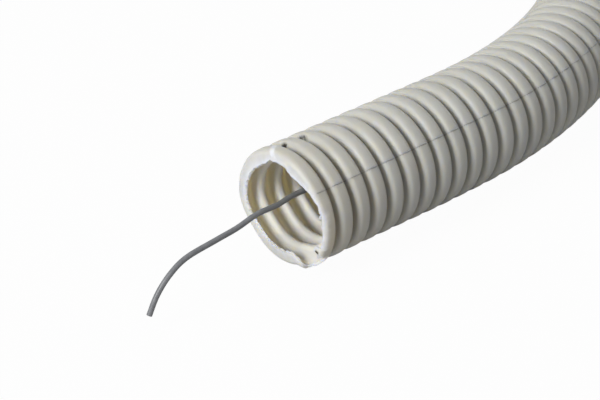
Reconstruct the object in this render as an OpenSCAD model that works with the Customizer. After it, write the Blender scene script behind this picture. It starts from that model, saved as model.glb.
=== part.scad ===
// Corrugated plastic conduit, cut by the metre, with its draw wire.
// The origin is on the axis, in the middle of the first crest behind the front mouth.
// The run goes a short way towards +X and -Y, bends to its left, and goes on along +X.
// It lies in the horizontal plane, so it rests on z = -outer_d / 2.

/* [Conduit] */
// Diameter over the crests of the waves
outer_d = 25; // [22:0.5:32]
// Diameter of the clear bore inside the roots of the waves
bore_d = 18.3; // [14:0.1:18.8]
// Thickness of the moulded wall
wall = 0.5; // [0.45:0.05:0.6]

/* [Waves] */
// Distance from one wave to the next
pitch = 4.5; // [4.4:0.1:5]
// Width of a crest, shoulders included
crest_w = 3.2; // [2.6:0.05:3.2]
// Radius of the rounded shoulders of a crest
shoulder_r = 0.8; // [0.5:0.05:1]
// Chamfer at the foot of a crest, outside and inside
foot = 0.3; // [0.25:0.05:0.35]

/* [Run] */
// Waves in the straight stretch behind the front mouth
lead_waves = 11; // [6:1:20]
// Waves in the bend
bend_waves = 23; // [6:1:36]
// Radius of the bend
bend_r = 135; // [130:5:250]
// Waves in the straight stretch before the rear mouth
rest_waves = 188; // [60:1:400]

/* [Ends] */
// Root tube left standing in front of the first crest and behind the last
lip = 0.35; // [0.1:0.05:0.6]
// Width of the nick where the knife ran into the first crest
nick_w = 6; // [4:0.5:12]
// How far below the side of the conduit the nick is, in degrees
nick_angle = 40; // [0:5:60]

/* [Draw wire] */
// Diameter of the wire over its coating
wire_d = 1.1; // [0.8:0.1:1.4]

/* [Hidden] */
$fn = 96;

bore_r = bore_d / 2;
root_r = bore_r + wall;
crest_r = outer_d / 2;
channel_r = crest_r - wall;
half_crest = crest_w / 2;
half_channel = half_crest - wall;
shoulder_step = 30;
// How far a root tube reaches into the flank of a crest beside it
grip = 0.5 * wall;
// Radius at which a blunt flank ends, inside the wall of the root tube beside it
leg_r = bore_r + foot / 2;
// Overshoot of a cut past the face that it opens
past = 1;
// Sides of the wire, and rings of it from one route point to the next
wire_sides = 8;
wire_steps = 4;

wave_count = lead_waves + bend_waves + rest_waves;
run_length = wave_count * pitch;
lead_length = (lead_waves - 0.5) * pitch;
bend_length = (bend_waves + 1) * pitch;
bend_angle = bend_length / bend_r * 180 / PI;
// Where the root tube starts, measured from the middle of the groove that the knife followed
end_face = pitch / 2 - half_crest - lip;

// The wire's route: distance from the front end, then how far to the left of the axis and
// above it. It rises a little in the mouth, hugs the outside of the bend and then lies in
// the bottom of the bore.
wire_route = [
    [-31, 0, -9],
    [-29, 0, -5.5],
    [-26, 0, -2.5],
    [-22, 0, -0.5],
    [-15, 0, 0.3],
    [-10, 0, 0.8],
    [-5, 0, 1.8],
    [0, 0, 1.8],
    [8, 0, 2.2],
    [30, -2, 1],
    [55, -6, -2],
    [80, -7.5, -3.5],
    [105, -7.5, -3.5],
    [130, -7, -4.5],
    [160, -3, -7.5],
    [250, 1, -8.4],
    [400, -1.5, -8.3],
    [600, 2, -8.2],
    [800, -1, -8.4],
    [1014, 0, -8.4]
];

// A pose on the axis is [x, y, heading]. Ahead goes straight on, and bent follows the bend.
function ahead(pose, distance) =
    [pose[0] + distance * cos(pose[2]), pose[1] + distance * sin(pose[2]), pose[2]];

function bent(pose, distance) =
    let (heading = pose[2] + distance / bend_r * 180 / PI)
    [
        pose[0] + bend_r * (sin(heading) - sin(pose[2])),
        pose[1] - bend_r * (cos(heading) - cos(pose[2])),
        heading
    ];

front = ahead([0, 0, -bend_angle], -pitch / 2);
bend_start = ahead(front, lead_length);
bend_end = bent(bend_start, bend_length);

// The pose of the axis at a distance from the front end
function station(distance) =
    distance <= lead_length
        ? ahead(front, distance)
        : distance <= lead_length + bend_length
            ? bent(bend_start, distance - lead_length)
            : ahead(bend_end, distance - lead_length - bend_length);

module at_pose(pose) {
    translate([pose[0], pose[1], 0]) rotate([0, 0, pose[2]]) children();
}

// Half sections are lists of [radius, distance along the axis].
// The outside of a crest from one flank to the other, with rounded shoulders
function crest_outline(middle) = [
    for (side = [-1, 1])
        for (step = [0 : shoulder_step : 90])
            let (angle = side < 0 ? step : 90 - step)
            [
                crest_r - shoulder_r + shoulder_r * sin(angle),
                middle + side * (half_crest - shoulder_r + shoulder_r * cos(angle))
            ]
];

// Where the left flank of a crest meets the root tube outside, and the bore inside
function outer_foot(middle) =
    [[root_r, middle - half_crest - foot], [root_r + foot, middle - half_crest]];

function inner_foot(middle) = [
    [channel_r, middle - half_channel],
    [bore_r + foot, middle - half_channel],
    [bore_r, middle - half_channel - foot]
];

// The left flank of a crest that ends bluntly, inside the root tube beside it
function blunt_flank(middle) =
    [[channel_r, middle - half_channel], [leg_r, middle - half_channel], [leg_r, middle - half_crest]];

// The same outline on the other side of the middle of its crest, drawn the other way
function mirrored(outline, middle) =
    [for (index = [len(outline) - 1 : -1 : 0]) [outline[index][0], 2 * middle - outline[index][1]]];

// The wall of a straight stretch along X, from a cut end to its last crest, which is blunt
module straight_wall(waves) {
    last = (waves - 0.5) * pitch;
    middles = [for (wave = [0 : waves - 2]) (wave + 0.5) * pitch];
    outside = [
        for (middle = middles)
            each concat(
                outer_foot(middle),
                crest_outline(middle),
                mirrored(outer_foot(middle), middle)
            )
    ];
    inside = [
        for (wave = [waves - 2 : -1 : 0])
            let (middle = middles[wave])
            each concat(mirrored(inner_foot(middle), middle), inner_foot(middle))
    ];
    rotate([0, 90, 0]) rotate_extrude()
        polygon(concat(
            [[bore_r, end_face], [root_r, end_face]],
            outside,
            outer_foot(last),
            crest_outline(last),
            mirrored(blunt_flank(last), last),
            inner_foot(last),
            inside
        ));
}

// One crest of the bend: its shoulders, its flanks and the channel between them
module separate_crest() {
    rotate([0, 90, 0]) rotate_extrude()
        polygon(concat(crest_outline(0), mirrored(blunt_flank(0), 0), blunt_flank(0)));
}

// The root tube between two blunt crests, on the chord between them. It flares outside as
// it enters their flanks.
module root_tube() {
    next = bent([0, 0, 0], pitch);
    face = (norm([next[0], next[1]]) - crest_w) / 2;
    end = [
        [root_r, face - foot],
        [root_r + foot + grip, face + grip],
        [bore_r, face + grip]
    ];
    at_pose(next / 2) rotate([0, 90, 0]) rotate_extrude()
        polygon(concat(end, mirrored(end, 0)));
}

// A bend that starts at a crest along X, and ends at the crest `pitches` further on, without
// those two crests. It is joined from two halves, each drawn along its own start.
module bend(pitches) {
    if (pitches == 1) {
        root_tube();
    } else {
        half = floor(pitches / 2);
        bend(half);
        at_pose(bent([0, 0, 0], half * pitch)) {
            separate_crest();
            bend(pitches - half);
        }
    }
}

// What the knife took off the first crest when it ran out of the groove
module nick() {
    rotate([nick_angle, 0, 0])
        translate([-pitch / 2, -crest_r - past, -nick_w / 2])
            cube([pitch, crest_r, nick_w]);
}

// The front stretch and the bend, drawn along X from the front end
module front_and_bend() {
    difference() {
        straight_wall(lead_waves);
        nick();
    }
    translate([lead_length, 0, 0]) bend(bend_waves + 1);
}

module conduit() {
    color("lightgray") {
        at_pose(front) front_and_bend();
        at_pose(station(run_length) + [0, 0, 180]) straight_wall(rest_waves);
    }
}

// A point of the wire's route in the model's own axes
function routed(point) =
    let (pose = station(point[0]))
    [pose[0] - point[1] * sin(pose[2]), pose[1] + point[1] * cos(pose[2]), point[2]];

// A point between b and c on the smooth curve through a, b, c and d
function smooth(a, b, c, d, t) =
    let (start = (c - a) / 2, end = (d - b) / 2)
    b + start * t + (3 * (c - b) - 2 * start - end) * t * t
        + (2 * (b - c) + start + end) * t * t * t;

module draw_wire() {
    last = len(wire_route) - 1;
    spine = concat(
        [
            for (index = [0 : last - 1])
                for (step = [0 : wire_steps - 1])
                    routed(smooth(
                        wire_route[max(index - 1, 0)],
                        wire_route[index],
                        wire_route[index + 1],
                        wire_route[min(index + 2, last)],
                        step / wire_steps
                    ))
        ],
        [routed(wire_route[last])]
    );
    end = len(spine) - 1;
    rings = [
        for (index = [0 : end])
            let (
                along = spine[min(index + 1, end)] - spine[max(index - 1, 0)],
                forward = along / norm(along),
                sideways = cross([0, 0, 1], forward) / norm(cross([0, 0, 1], forward)),
                upwards = cross(forward, sideways)
            )
            for (side = [0 : wire_sides - 1])
                let (angle = 360 * side / wire_sides)
                spine[index] + wire_d / 2 * (cos(angle) * sideways + sin(angle) * upwards)
    ];
    walls = [
        for (index = [0 : end - 1])
            for (side = [0 : wire_sides - 1])
                let (from = index * wire_sides, next = (side + 1) % wire_sides)
                [from + side, from + wire_sides + side, from + wire_sides + next, from + next]
    ];
    front_cap = [for (side = [0 : wire_sides - 1]) side];
    rear_cap = [for (side = [wire_sides - 1 : -1 : 0]) end * wire_sides + side];
    color("dimgray")
        polyhedron(points = rings, faces = concat([front_cap], walls, [rear_cap]));
}

conduit();
draw_wire();
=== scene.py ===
"""A cut length of corrugated plastic conduit with its draw wire, dressed over the CAD frame."""

import math

import bpy
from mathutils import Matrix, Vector, noise


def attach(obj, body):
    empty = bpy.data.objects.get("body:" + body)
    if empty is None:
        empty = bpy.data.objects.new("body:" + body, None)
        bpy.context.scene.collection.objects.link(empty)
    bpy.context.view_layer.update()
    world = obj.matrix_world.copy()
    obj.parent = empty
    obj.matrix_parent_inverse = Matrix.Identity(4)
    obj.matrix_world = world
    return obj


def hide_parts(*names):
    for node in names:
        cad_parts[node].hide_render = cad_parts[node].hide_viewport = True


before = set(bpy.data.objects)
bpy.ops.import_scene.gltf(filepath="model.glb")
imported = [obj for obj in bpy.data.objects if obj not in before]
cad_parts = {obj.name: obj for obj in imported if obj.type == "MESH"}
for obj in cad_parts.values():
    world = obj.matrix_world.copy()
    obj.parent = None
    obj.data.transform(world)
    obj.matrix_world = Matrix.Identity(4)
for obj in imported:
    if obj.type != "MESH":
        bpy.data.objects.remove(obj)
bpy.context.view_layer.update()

MM = 0.001

# ---- sizes that the CAD model has, in metres ----
CREST_R = 12.5 * MM
BORE_R = 9.15 * MM
WALL = 0.5 * MM
ROOT_R = BORE_R + WALL
PITCH = 4.5 * MM
LEAD_WAVES = 11
BEND_WAVES = 23
REST_WAVES = 188
BEND_R = 135 * MM
WIRE_D = 1.1 * MM

LEAD = (LEAD_WAVES - 0.5) * PITCH
BEND = (BEND_WAVES + 1) * PITCH
WAVES = LEAD_WAVES + BEND_WAVES + REST_WAVES
RUN = WAVES * PITCH
FRONT_HEADING = -BEND / BEND_R
FLOOR_Z = -CREST_R

# ---- the moulded wave, a little wider than the solid's and rounder at its shoulders and feet ----
CREST_W = 3.4 * MM
SHOULDER_R = 1.1 * MM
FILLET_R = 0.42 * MM
DRAFT = math.radians(5)

# ---- the two mould seams, as angles round the axis from the left-hand side ----
SEAM_ANGLES = (math.radians(140.5), math.radians(320.5))

# An arc round the axis is the angle of its middle, its half width and the width of its soft
# edges, in degrees.

# ---- the front end is pressed in a little, low on its left side, over the first waves ----
DENT_DEPTH = 1.5 * MM
DENT_LENGTH = 36 * MM
DENT_ARC = (280, 30, 50)
# Only this arc of the first crest stayed in. Beside it the nick has parted it, and it sprang back.
HELD_LENGTH = 6 * MM
HELD_ARC = (300, 52, 20)


# ---------------------------------------------------------------- the run

def ahead(pose, distance):
    """The pose straight on from a pose. A pose is (x, y, heading)."""
    x, y, heading = pose
    return (x + distance * math.cos(heading), y + distance * math.sin(heading), heading)


def bent(pose, distance):
    """The pose further on round the bend."""
    x, y, heading = pose
    turned = heading + distance / BEND_R
    return (
        x + BEND_R * (math.sin(turned) - math.sin(heading)),
        y - BEND_R * (math.cos(turned) - math.cos(heading)),
        turned,
    )


FRONT = ahead((0, 0, FRONT_HEADING), -PITCH / 2)
BEND_START = ahead(FRONT, LEAD)
BEND_END = bent(BEND_START, BEND)


def station(distance):
    """The pose (x, y, heading) of the axis at a distance from the front end."""
    if distance <= LEAD:
        return ahead(FRONT, distance)
    if distance <= LEAD + BEND:
        return bent(BEND_START, distance - LEAD)
    return ahead(BEND_END, distance - LEAD - BEND)


def at(distance, left, up):
    """A point beside the axis: so far along the run, to its left and above it."""
    x, y, heading = station(distance)
    return Vector((x - left * math.sin(heading), y + left * math.cos(heading), up))


# ---------------------------------------------------------------- camera

# How far along the run from the front end, to its left and above it
CAMERA_PLACE = (-170.9 * MM, -193.98 * MM, 155.5 * MM)
CAMERA_YAW = math.radians(42.33)
CAMERA_DOWN = math.radians(30.56)
CAMERA_LENS = 95.87


def make_camera():
    """The camera stands in front of the mouth and to its right, and looks down on it."""
    data = bpy.data.cameras.new("camera")
    data.lens = CAMERA_LENS
    data.clip_start = 0.01
    data.clip_end = 20
    camera = bpy.data.objects.new("camera", data)
    bpy.context.scene.collection.objects.link(camera)
    yaw = FRONT_HEADING + math.pi / 2 - CAMERA_YAW
    look = Vector((
        math.cos(yaw) * math.cos(CAMERA_DOWN),
        math.sin(yaw) * math.cos(CAMERA_DOWN),
        -math.sin(CAMERA_DOWN),
    ))
    camera.location = at(*CAMERA_PLACE)
    camera.rotation_euler = look.to_track_quat("-Z", "Y").to_euler()
    bpy.context.scene.camera = camera


# ---------------------------------------------------------------- draw wire

# Distance from the front end, then how far to the left of the axis and above it, in mm
WIRE_ROUTE = [
    (-31, 0, -9),
    (-29, 0, -5.5),
    (-26, 0, -2.5),
    (-22, 0, -0.5),
    (-15, 0, 0.3),
    (-10, 0, 0.8),
    (-5, 0, 1.8),
    (0, 0, 1.8),
    (8, 0, 2.2),
    (30, -2, 1),
    (55, -6, -2),
    (80, -7.5, -3.5),
    (105, -7.5, -3.5),
    (130, -7, -4.5),
    (160, -3, -7.5),
    (250, 1, -8.4),
    (400, -1.5, -8.3),
    (600, 2, -8.2),
    (800, -1, -8.4),
    (1014, 0, -8.4),
]
WIRE_STEPS = 12


def smooth(a, b, c, d, t):
    """A point between b and c on the smooth curve through a, b, c and d."""
    start, end = (c - a) / 2, (d - b) / 2
    return (
        b + start * t
        + (3 * (c - b) - 2 * start - end) * t * t
        + (2 * (b - c) + start + end) * t * t * t
    )


def wire_points():
    route = [Vector(point) * MM for point in WIRE_ROUTE]
    last = len(route) - 1
    points = []
    for index in range(last):
        around = [route[max(index - 1, 0)], route[index], route[index + 1], route[min(index + 2, last)]]
        points += [at(*smooth(*around, step / WIRE_STEPS)) for step in range(WIRE_STEPS)]
    return points + [at(*route[last])]


def make_wire():
    data = bpy.data.curves.new("draw_wire_coated", "CURVE")
    data.dimensions = "3D"
    data.bevel_depth = WIRE_D / 2 * 0.995
    data.bevel_resolution = 5
    data.use_fill_caps = True
    points = wire_points()
    spline = data.splines.new("POLY")
    spline.points.add(len(points) - 1)
    for knot, point in zip(spline.points, points):
        knot.co = (*point, 1)
    wire = bpy.data.objects.new("draw_wire_coated", data)
    bpy.context.scene.collection.objects.link(wire)
    wire.data.materials.append(wire_coating())
    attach(wire, "root")
    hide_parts("draw_wire")


# ---------------------------------------------------------------- conduit

def half_wave(arc_steps):
    """The outside of the wall from mid groove to mid crest, as (along, radius, lean).

    The lean is the angle by which the surface's normal leans back towards the groove."""
    lean_most = math.pi / 2 - DRAFT
    flank_x = (PITCH - CREST_W) / 2
    mid_r = (ROOT_R + CREST_R) / 2

    def flank(radius):
        return flank_x + (radius - mid_r) * math.tan(DRAFT)

    fillet_r = ROOT_R + FILLET_R * (1 - math.cos(lean_most))
    fillet_x = flank(fillet_r) - FILLET_R * math.sin(lean_most)
    shoulder_r = CREST_R - SHOULDER_R * (1 - math.cos(lean_most))
    shoulder_x = flank(shoulder_r) + SHOULDER_R * math.sin(lean_most)
    points = [(0, ROOT_R, 0)]
    for step in range(arc_steps + 1):
        lean = lean_most * step / arc_steps
        points.append((
            fillet_x + FILLET_R * math.sin(lean),
            ROOT_R + FILLET_R * (1 - math.cos(lean)),
            lean,
        ))
    for step in range(arc_steps, -1, -1):
        lean = lean_most * step / arc_steps
        points.append((
            shoulder_x - SHOULDER_R * math.sin(lean),
            CREST_R - SHOULDER_R * (1 - math.cos(lean)),
            lean,
        ))
    points.append((PITCH / 2, CREST_R, 0))
    return points


def whole_wave(arc_steps):
    """Both walls of a wave from groove to groove: (along, radius) outside, then inside."""
    half = half_wave(arc_steps)
    other = [(PITCH - x, r, -lean) for x, r, lean in reversed(half[:-1])]
    rows = []
    for x, r, lean in half + other:
        inside = (x + WALL * math.sin(lean), r - WALL * math.cos(lean))
        rows.append(((x, r), inside))
    return rows


def clamped(value):
    """The value, kept between 0 and 1."""
    return min(1, max(0, value))


def bump(angle, middle, half_width, edge):
    """1 on an arc and 0 away from it, with a soft edge; all in degrees."""
    away = abs((angle - middle + 180) % 360 - 180)
    share = clamped((half_width + edge - away) / edge)
    return share * share * (3 - 2 * share)


def wall_point(distance, radius, angle):
    """A point of the wall, with the dent of the front end taken off its radius."""
    turn = math.degrees(angle)
    fade = max(0, 1 - distance / DENT_LENGTH)
    held = 1 - max(0, 1 - distance / HELD_LENGTH) * (1 - bump(turn, *HELD_ARC))
    radius -= DENT_DEPTH * fade * held * bump(turn, *DENT_ARC)
    return at(distance, radius * math.cos(angle), radius * math.sin(angle))


def new_piece(name, vertices, faces, smooth_angle=40, **shares):
    """A piece of the conduit. Each of `shares` is an attribute with a value for every vertex."""
    mesh = bpy.data.meshes.new(name)
    mesh.from_pydata(vertices, [], faces)
    mesh.shade_smooth()
    mesh.set_sharp_from_angle(angle=math.radians(smooth_angle))
    for share, values in shares.items():
        mesh.attributes.new(share, "FLOAT", "POINT").data.foreach_set("value", values)
    piece = bpy.data.objects.new(name, mesh)
    bpy.context.scene.collection.objects.link(piece)
    piece.data.materials.append(MATERIALS["plastic"])
    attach(piece, "root")
    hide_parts("conduit")
    return piece


def skin(rings, faces, flipped):
    """Quads between neighbouring rings of vertex numbers."""
    for near, far in zip(rings, rings[1:]):
        for index in range(len(near)):
            following = (index + 1) % len(near)
            quad = (near[index], near[following], far[following], far[index])
            faces.append(quad[::-1] if flipped else quad)


def waves_piece(name, first, last, segments, arc_steps, rear_cut=False):
    """Waves `first` to `last` of the run as a thin wall with an outside and an inside."""
    profile = whole_wave(arc_steps)
    vertices, faces, ends = [], [], []
    angles = [2 * math.pi * index / segments for index in range(segments)]
    for side in (0, 1):
        rings = []
        for wave in range(first, last):
            rows = profile if wave == last - 1 else profile[:-1]
            for row in rows:
                along, radius = row[side]
                start = len(vertices)
                distance = wave * PITCH + along
                vertices += [wall_point(distance, radius, angle) for angle in angles]
                rings.append(range(start, start + segments))
        skin(rings, faces, flipped=side == 0)
        ends.append(rings[-1])
    if rear_cut:
        skin(ends, faces, flipped=True)
    half = len(vertices) // 2
    # The inner skin is marked so that the material paints it lighter and warmer, as painted light
    return new_piece(name, vertices, faces, inside=[0] * half + [1] * half)


# ---- the mouth, where a knife went round in the groove and strayed into the first crest ----
MOUTH_WAVES = 3
MOUTH_SEGMENTS = 270
MOUTH_ARC_STEPS = 8
# The cut is measured along the wall's outline from the middle of the groove. The rows of the
# mesh are spread evenly from the cut to this distance, and stay in place behind it.
CUT_REACH = 5.6 * MM
CUT_ROWS = 30
ROW_STEP = 0.25 * MM

# Where the knife cut the lip, the flank and the top of the crest: how far along the outline in
# mm, and the (size, scale, seed) of each noise that it wandered with
CUT_LIP = (0.45, ((0.2, 2.5, 3), (0.25, 9, 7), (0.16, 26, 11)))
CUT_FLANK = (2.5, ((0.35, 3, 2), (0.25, 11, 9), (0.2, 30, 4)))
CUT_NICK = (4.6, ((0.3, 14, 5),))
# The least that it cut, how far along the outline it left the tongue, and how much further
# back it cut at its start, in mm
LEAST_CUT = 0.1
TONGUE_REACH = 1
START_REACH = 0.6
START_ARC = (87, 9, 14)
FLANK_ARC = (179, 21, 50)
TONGUE_ARC = (200, 2.5, 2.5)
NICK_ARC = (221, 13, 3)

# The lip folded in on one side of the place where the cut began and ended
KINK_DEPTH = 0.15 * MM
KINK_LENGTH = 3 * MM
KINK_ARC = (45, 25, 3)

# Where the knife's point went in: angle and place along the run in mm, half the width in
# degrees, half the length and the depth in mm
STABS = [
    (71.5, 5.1, 4.2, 0.45, 0.5),
    (72.5, 9.65, 8, 0.4, 0.2),
]

# The torn slivers: distance, radius, angle, width, reach and lean, in mm and degrees
FLAKES = [
    (0.7, 11.9, 161, 0.9, 0.6, 2),
    (1.0, 11.8, 208, 0.6, 0.8, -3),
]

# The thickness of a sliver at its foot
FLAKE_WALL = 0.7 * WALL

# The crease at the start of the cut slants back round the flank, so many degrees to the mm
CREASE_ANGLE = 88
CREASE_SLANT = 3.25
# Where the flank is stretched white most, and a corner beside the nick that is painted black as painted
# shade for the gap below the torn strip
STRESSED_ARC = (183, 18, 14)
SHADOWED_TEAR_ARC = (202, 1, 2)
# A stab of this depth is painted fully black, as painted shade for the dark seen through the hole
BLACK_SHADE_DEPTH = 0.4 * MM


def wander(angle, scale, seed):
    """Smooth noise round the mouth, between -1 and 1."""
    turn = math.radians(angle)
    return noise.noise(Vector((math.cos(turn) * scale, math.sin(turn) * scale, seed)))


def wandering(angle, middle, noises):
    """A place along the outline, with its noises added, in mm."""
    return middle + sum(size * wander(angle, scale, seed) for size, scale, seed in noises)


def knife_path(angle):
    """Where the knife went through at an angle, along the outline."""
    path = wandering(angle, *CUT_LIP) + START_REACH * bump(angle, *START_ARC)
    path += (wandering(angle, *CUT_FLANK) - path) * bump(angle, *FLANK_ARC)
    path += (TONGUE_REACH - path) * bump(angle, *TONGUE_ARC)
    path += (wandering(angle, *CUT_NICK) - path) * bump(angle, *NICK_ARC)
    return max(LEAST_CUT, path) * MM


def stab(angle, distance):
    """How deep the knife's point went in at a place of the wall."""
    depth = 0
    for middle, along, half_angle, half_length, deepest in STABS:
        across = (angle - middle) / half_angle
        beside = (distance / MM - along) / half_length
        depth += deepest * MM * max(0, 1 - across * across - beside * beside)
    return depth


def kink(angle, distance):
    """How far the lip is folded in at a place of the wall."""
    return KINK_DEPTH * bump(angle, *KINK_ARC) * max(0, 1 - distance / KINK_LENGTH)


def outline_at(rows, lengths, target, side):
    """The point at a distance along the outline, on its outside or inside."""
    index = next((i for i, length in enumerate(lengths) if length >= target and i), len(lengths) - 1)
    share = (target - lengths[index - 1]) / (lengths[index] - lengths[index - 1])
    a, b = rows[index - 1][side], rows[index][side]
    return (a[0] + (b[0] - a[0]) * share, a[1] + (b[1] - a[1]) * share)


def flake(vertices, faces, distance, radius, angle, width, reach, lean):
    """A torn sliver on the rim: a thin wedge that points inwards and a little forwards."""
    first = len(vertices)
    turn = math.degrees(width / 2 / radius)
    tip_angle = math.radians(angle + lean)
    for shift, thick in ((-turn, 0), (turn, 0), (turn, FLAKE_WALL), (-turn, FLAKE_WALL)):
        vertices.append(wall_point(distance + thick, radius, math.radians(angle + shift)))
    vertices.append(wall_point(distance - 0.3 * reach, radius - reach, tip_angle))
    sides = ((0, 1, 4), (1, 2, 4), (2, 3, 4), (3, 0, 4), (3, 2, 1, 0))
    faces += [tuple(first + corner for corner in side) for side in sides]


def whiteness(angle, target, knife):
    """How far the plastic was stretched white at a place of the outline."""
    behind = (target - knife) / MM
    beside_cut = 1.3 * math.exp(-behind / 0.6)
    on_flank = 0.35 * clamped((3.2 - target / MM) / 0.8)
    on_stressed_side = 0.8 * bump(angle, *STRESSED_ARC) * clamped(2 - behind)
    on_crease = 0
    if target < CUT_REACH:
        on_crease = 0.9 * bump(angle, CREASE_ANGLE - CREASE_SLANT * target / MM, 1.5, 3)
    return min(1, beside_cut + on_flank + on_stressed_side + on_crease)


def painted_shade(angle, target, along):
    """Painted shade: black where the knife's point went through, for the dark seen through the hole, and
    in a corner at the nick, for the shade in the gap below the torn strip.
    """
    # The corner at the nick is painted black as painted shade, the gap below the torn strip
    torn = bump(angle, *SHADOWED_TEAR_ARC) * bump(target / MM, 1.8, 0.3, 0.3)
    ragged = max(0, 0.9 + 1.2 * noise.noise(Vector((angle / 1.5, along / (0.25 * MM), 0))))
    return ragged * stab(angle, along) / BLACK_SHADE_DEPTH + torn


def mouth_piece():
    """The first waves, from the ragged cut to the middle of a groove behind it."""
    one = whole_wave(MOUTH_ARC_STEPS)
    rows = one + [
        tuple((x + wave * PITCH, r) for x, r in row)
        for wave in range(1, MOUTH_WAVES) for row in one[1:]
    ]
    lengths = [0]
    for a, b in zip(rows, rows[1:]):
        lengths.append(lengths[-1] + math.dist(a[0], b[0]))
    behind = round((lengths[-1] - CUT_REACH) / ROW_STEP)
    degrees = [360 * index / MOUTH_SEGMENTS for index in range(MOUTH_SEGMENTS)]
    vertices, faces, whitening, cut = [], [], [], []
    for side in (0, 1):
        rings = []
        for row in range(CUT_ROWS + behind + 1):
            start = len(vertices)
            for angle in degrees:
                knife = knife_path(angle)
                target = knife + (CUT_REACH - knife) * row / CUT_ROWS
                if row > CUT_ROWS:
                    target = CUT_REACH + (lengths[-1] - CUT_REACH) * (row - CUT_ROWS) / behind
                along, radius = outline_at(rows, lengths, target, side)
                radius -= stab(angle, along) + kink(angle, along)
                vertices.append(wall_point(along, radius, math.radians(angle)))
                # Below 0 the colour is painted black, as painted shade where a hole or gap is dark
                whitening.append(whiteness(angle, target, knife) - 2 * painted_shade(angle, target, along))
            rings.append(range(start, len(vertices)))
        skin(rings, faces, flipped=side == 0)
        cut.append(rings[0])
    skin(cut, faces, flipped=False)
    half = len(vertices) // 2
    for distance, radius, angle, width, reach, lean in FLAKES:
        flake(vertices, faces, distance * MM, radius * MM, angle, width * MM, reach * MM, lean)
    torn = len(vertices) - 2 * half
    whitening += [1] * torn
    # The inner skin is marked so that the material paints it lighter and warmer, as painted light
    inside = [0] * half + [1] * half + [0] * torn
    return new_piece("conduit_mouth", vertices, faces, whitening=whitening, inside=inside)


# Rows of the first wave's outline in front of the cut, which the seam leaves out
SEAM_SKIPS = 7
# Across the flash: how far round, and how high above the wall
SEAM_SECTION = [(-0.16 * MM, -0.02 * MM), (0, 0.1 * MM), (0.09 * MM, -0.02 * MM), (0.2 * MM, 0.005 * MM)]


def seam_piece(angle, name):
    """The thin flash that the halves of the mould left along the outside. One side of it is painted
    dark, as painted shade on the side of the ridge away from the light.
    """
    profile = whole_wave(arc_steps=3)
    vertices, faces = [], []
    for wave in range(WAVES):
        for (along, radius), _ in profile[SEAM_SKIPS if wave == 0 else 0:-1]:
            distance = wave * PITCH + along
            for across, lift in SEAM_SECTION:
                turned = angle + across / CREST_R
                vertices.append(wall_point(distance, radius + lift, turned))
    points = len(SEAM_SECTION)
    strips = points - 1
    for row in range(len(vertices) // points - 1):
        for strip in range(strips):
            corner = row * points + strip
            faces.append((corner, corner + points, corner + points + 1, corner + 1))
    piece = new_piece(name, vertices, faces, smooth_angle=20)
    # Every strip of the flash after the first takes the seam shade material: painted shade on the side
    # of the ridge away from the light
    piece.data.materials.append(MATERIALS["dirt"])
    for number, polygon in enumerate(piece.data.polygons):
        polygon.material_index = int(number % strips > 0)


# The waves past the bend are the same everywhere, and are shared out among coarser pieces
NEAR_WAVES = 36
FAR_PIECES = 3
FAR_WAVES = (WAVES - NEAR_WAVES) // FAR_PIECES


def make_conduit():
    mouth_piece()
    waves_piece("conduit_near", MOUTH_WAVES, NEAR_WAVES, segments=64, arc_steps=4)
    for number in range(FAR_PIECES):
        first = NEAR_WAVES + FAR_WAVES * number
        waves_piece(
            f"conduit_far_{number + 1}", first, first + FAR_WAVES, segments=48, arc_steps=2,
            rear_cut=number == FAR_PIECES - 1,
        )
    for number, angle in enumerate(SEAM_ANGLES):
        seam_piece(angle, f"conduit_seam_{number + 1}")


# ---------------------------------------------------------------- materials

MATERIALS = {}


def new_material(name):
    material = bpy.data.materials.new(name)
    material.use_nodes = True
    nodes = material.node_tree.nodes
    return material, nodes, material.node_tree.links, nodes["Principled BSDF"]


def noise_at(nodes, links, place, scale, detail):
    """The value of a noise texture in the object's own space."""
    texture = nodes.new("ShaderNodeTexNoise")
    texture.inputs["Scale"].default_value = scale
    texture.inputs["Detail"].default_value = detail
    links.new(place.outputs["Object"], texture.inputs["Vector"])
    return texture.outputs["Fac"]


def tint_between(nodes, links, share, low, high, ends=(0.3, 0.7)):
    """A colour that goes from `low` to `high` as the share goes from one end to the other."""
    tint = nodes.new("ShaderNodeValToRGB")
    for element, position, colour in zip(tint.color_ramp.elements, ends, (low, high)):
        element.position = position
        element.color = (*colour, 1)
    links.new(share, tint.inputs["Fac"])
    return tint.outputs["Color"]


def remapped(nodes, links, value, **limits):
    """A value mapped from one range to another, with limits such as `To_Min`."""
    mapping = nodes.new("ShaderNodeMapRange")
    for limit, number in limits.items():
        mapping.inputs[limit.replace("_", " ")].default_value = number
    links.new(value, mapping.inputs["Value"])
    return mapping.outputs["Result"]


def product(nodes, links, value, factor):
    """A value times a number or another value, kept between 0 and 1."""
    times = nodes.new("ShaderNodeMath")
    times.operation = "MULTIPLY"
    times.use_clamp = True
    links.new(value, times.inputs[0])
    if isinstance(factor, (int, float)):
        times.inputs[1].default_value = factor
    else:
        links.new(factor, times.inputs[1])
    return times.outputs["Value"]


def attribute(nodes, name):
    """The value of a mesh attribute."""
    reader = nodes.new("ShaderNodeAttribute")
    reader.attribute_name = name
    return reader.outputs["Fac"]


def relief(nodes, links, height, shader, strength, depth):
    """Fine bumps on a material."""
    bumps = nodes.new("ShaderNodeBump")
    bumps.inputs["Strength"].default_value = strength
    bumps.inputs["Distance"].default_value = depth
    links.new(height, bumps.inputs["Height"])
    links.new(bumps.outputs["Normal"], shader.inputs["Normal"])


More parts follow.
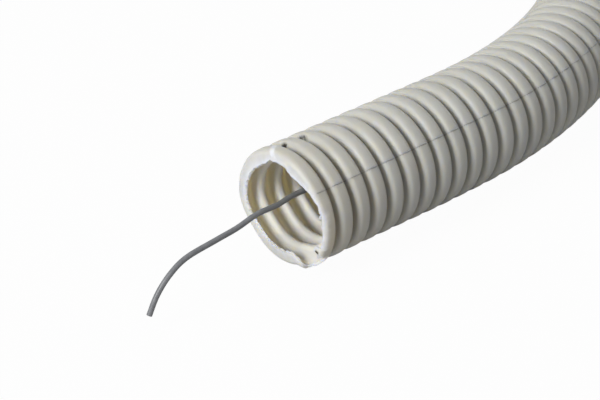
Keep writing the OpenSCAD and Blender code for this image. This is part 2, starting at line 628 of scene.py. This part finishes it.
def plastic():
    """Matt grey PVC: a little mottled and slightly translucent, and white where it was stretched. Its
    inside is painted lighter and warmer as painted light, for light through the wall and bounced round
    the bore, and it is painted black as painted shade where the knife's point went through and in a
    corner at the nick."""
    material, nodes, links, shader = new_material("conduit_pvc")
    place = nodes.new("ShaderNodeTexCoord")
    mottle = noise_at(nodes, links, place, 90, 4)
    colour = tint_between(nodes, links, mottle, (0.475, 0.468, 0.435), (0.52, 0.513, 0.478))
    patches = noise_at(nodes, links, place, 700, 3)
    patchy = remapped(nodes, links, patches, From_Min=0.35, From_Max=0.6, To_Min=0.72)
    whitening = attribute(nodes, "whitening")
    for share, blended in (
        # The inner wall is painted lighter and warmer: painted light for light through the thin wall and
        # bounced round the bore
        (attribute(nodes, "inside"), (0.73, 0.69, 0.62, 1)),
        (product(nodes, links, whitening, patchy), (0.715, 0.72, 0.735, 1)),
        # Painted shade: values below 0 paint the plastic black where a hole or gap is dark
        (product(nodes, links, whitening, -1), (0.02, 0.02, 0.018, 1)),
    ):
        blend = nodes.new("ShaderNodeMix")
        blend.data_type = "RGBA"
        blend.inputs["B"].default_value = blended
        links.new(share, blend.inputs["Factor"])
        links.new(colour, blend.inputs["A"])
        colour = blend.outputs["Result"]
    links.new(colour, shader.inputs["Base Color"])
    grain = noise_at(nodes, links, place, 2600, 3)
    rough = remapped(nodes, links, grain, To_Min=0.4, To_Max=0.55)
    links.new(rough, shader.inputs["Roughness"])
    relief(nodes, links, grain, shader, 0.12, 0.05 * MM)
    shader.inputs["Subsurface Weight"].default_value = 0.8
    shader.inputs["Subsurface Radius"].default_value = (2 * MM, 1.6 * MM, 0.9 * MM)
    shader.inputs["Subsurface Scale"].default_value = 1
    shader.inputs["Specular IOR Level"].default_value = 0.5
    return material


def seam_dirt():
    """Painted shade for the side of the mould seam's flash away from the light: a dark, speckled
    grey-brown.
    """
    material, nodes, links, shader = new_material("seam_dirt")
    speckle = nodes.new("ShaderNodeTexNoise")
    speckle.inputs["Scale"].default_value = 1500
    tint = tint_between(
        nodes, links, speckle.outputs["Fac"], (0.2, 0.19, 0.16), (0.36, 0.35, 0.31), ends=(0, 1),
    )
    links.new(tint, shader.inputs["Base Color"])
    shader.inputs["Roughness"].default_value = 0.8
    return material


def wire_coating():
    """Grey coating, drawn smooth, with faint streaks."""
    material, nodes, links, shader = new_material("wire_coating_grey")
    place = nodes.new("ShaderNodeTexCoord")
    streaks = noise_at(nodes, links, place, 700, 3)
    tint = tint_between(nodes, links, streaks, (0.155, 0.16, 0.17), (0.205, 0.21, 0.22))
    links.new(tint, shader.inputs["Base Color"])
    relief(nodes, links, streaks, shader, 0.2, 0.03 * MM)
    shader.inputs["Roughness"].default_value = 0.42
    shader.inputs["Specular IOR Level"].default_value = 0.5
    return material


# ---------------------------------------------------------------- floor and light

# How much of the floor that the camera sees is plain white; the rest takes light and shadow
FLOOR_GLOW = 0.97


def make_floor():
    """A pale floor that shows white to the camera and still takes a faint shadow."""
    mesh = bpy.data.meshes.new("floor")
    reach = 6
    corners = [(-reach, -reach), (reach, -reach), (reach, reach), (-reach, reach)]
    mesh.from_pydata([(x, y, FLOOR_Z) for x, y in corners], [], [(0, 1, 2, 3)])
    floor = bpy.data.objects.new("floor", mesh)
    bpy.context.scene.collection.objects.link(floor)
    material, nodes, links, shader = new_material("floor_white")
    shader.inputs["Base Color"].default_value = (0.5, 0.5, 0.5, 1)
    shader.inputs["Roughness"].default_value = 0.9
    glow = nodes.new("ShaderNodeEmission")
    glow.inputs["Strength"].default_value = 1
    path = nodes.new("ShaderNodeLightPath")
    mix = nodes.new("ShaderNodeMixShader")
    links.new(product(nodes, links, path.outputs["Is Camera Ray"], FLOOR_GLOW), mix.inputs["Fac"])
    links.new(shader.outputs["BSDF"], mix.inputs[1])
    links.new(glow.outputs["Emission"], mix.inputs[2])
    links.new(mix.outputs["Shader"], nodes["Material Output"].inputs["Surface"])
    mesh.materials.append(material)


def area_light(name, place, target, length, width, watts, glossy=False):
    """A soft lamp at one place beside the run, turned to another. Only a glossy one is mirrored."""
    data = bpy.data.lights.new(name, "AREA")
    data.shape = "RECTANGLE"
    data.size = length
    data.size_y = width
    data.energy = watts
    lamp = bpy.data.objects.new(name, data)
    bpy.context.scene.collection.objects.link(lamp)
    lamp.visible_glossy = glossy
    lamp.location = at(*place)
    lamp.rotation_euler = (at(*target) - lamp.location).to_track_quat("-Z", "Y").to_euler()


def make_light():
    """A key lamp before the mouth, and two lamps for the stretch behind it. The mirror images of
    those two would show as streaks along the crests, so they are left out."""
    world = bpy.data.worlds.new("studio")
    bpy.context.scene.world = world
    world.use_nodes = True
    nodes, links = world.node_tree.nodes, world.node_tree.links
    back = nodes["Background"]
    back.inputs["Color"].default_value = (1, 1, 1, 1)
    path = nodes.new("ShaderNodeLightPath")
    strength = remapped(nodes, links, path.outputs["Is Camera Ray"], To_Min=0.25, To_Max=1)
    links.new(strength, back.inputs["Strength"])
    area_light("key", (-0.85, -0.05, 0.55), (0.06, 0, 0), 0.4, 0.4, 10, glossy=True)
    area_light("overhead", (0.5, 0.02, 0.9), (0.5, 0.02, 0), 1, 0.5, 3.4)
    area_light("rear", (RUN + 0.8, 0.35, 0.5), (RUN - 0.06, 0, 0), 0.4, 0.4, 5)


# ---------------------------------------------------------------- the scene

bpy.context.scene.view_settings.view_transform = "Standard"
make_camera()
MATERIALS["plastic"] = plastic()
# The seam material is painted shade for the shadowed side of the mould seams
MATERIALS["dirt"] = seam_dirt()
make_wire()
make_conduit()
make_floor()
make_light()
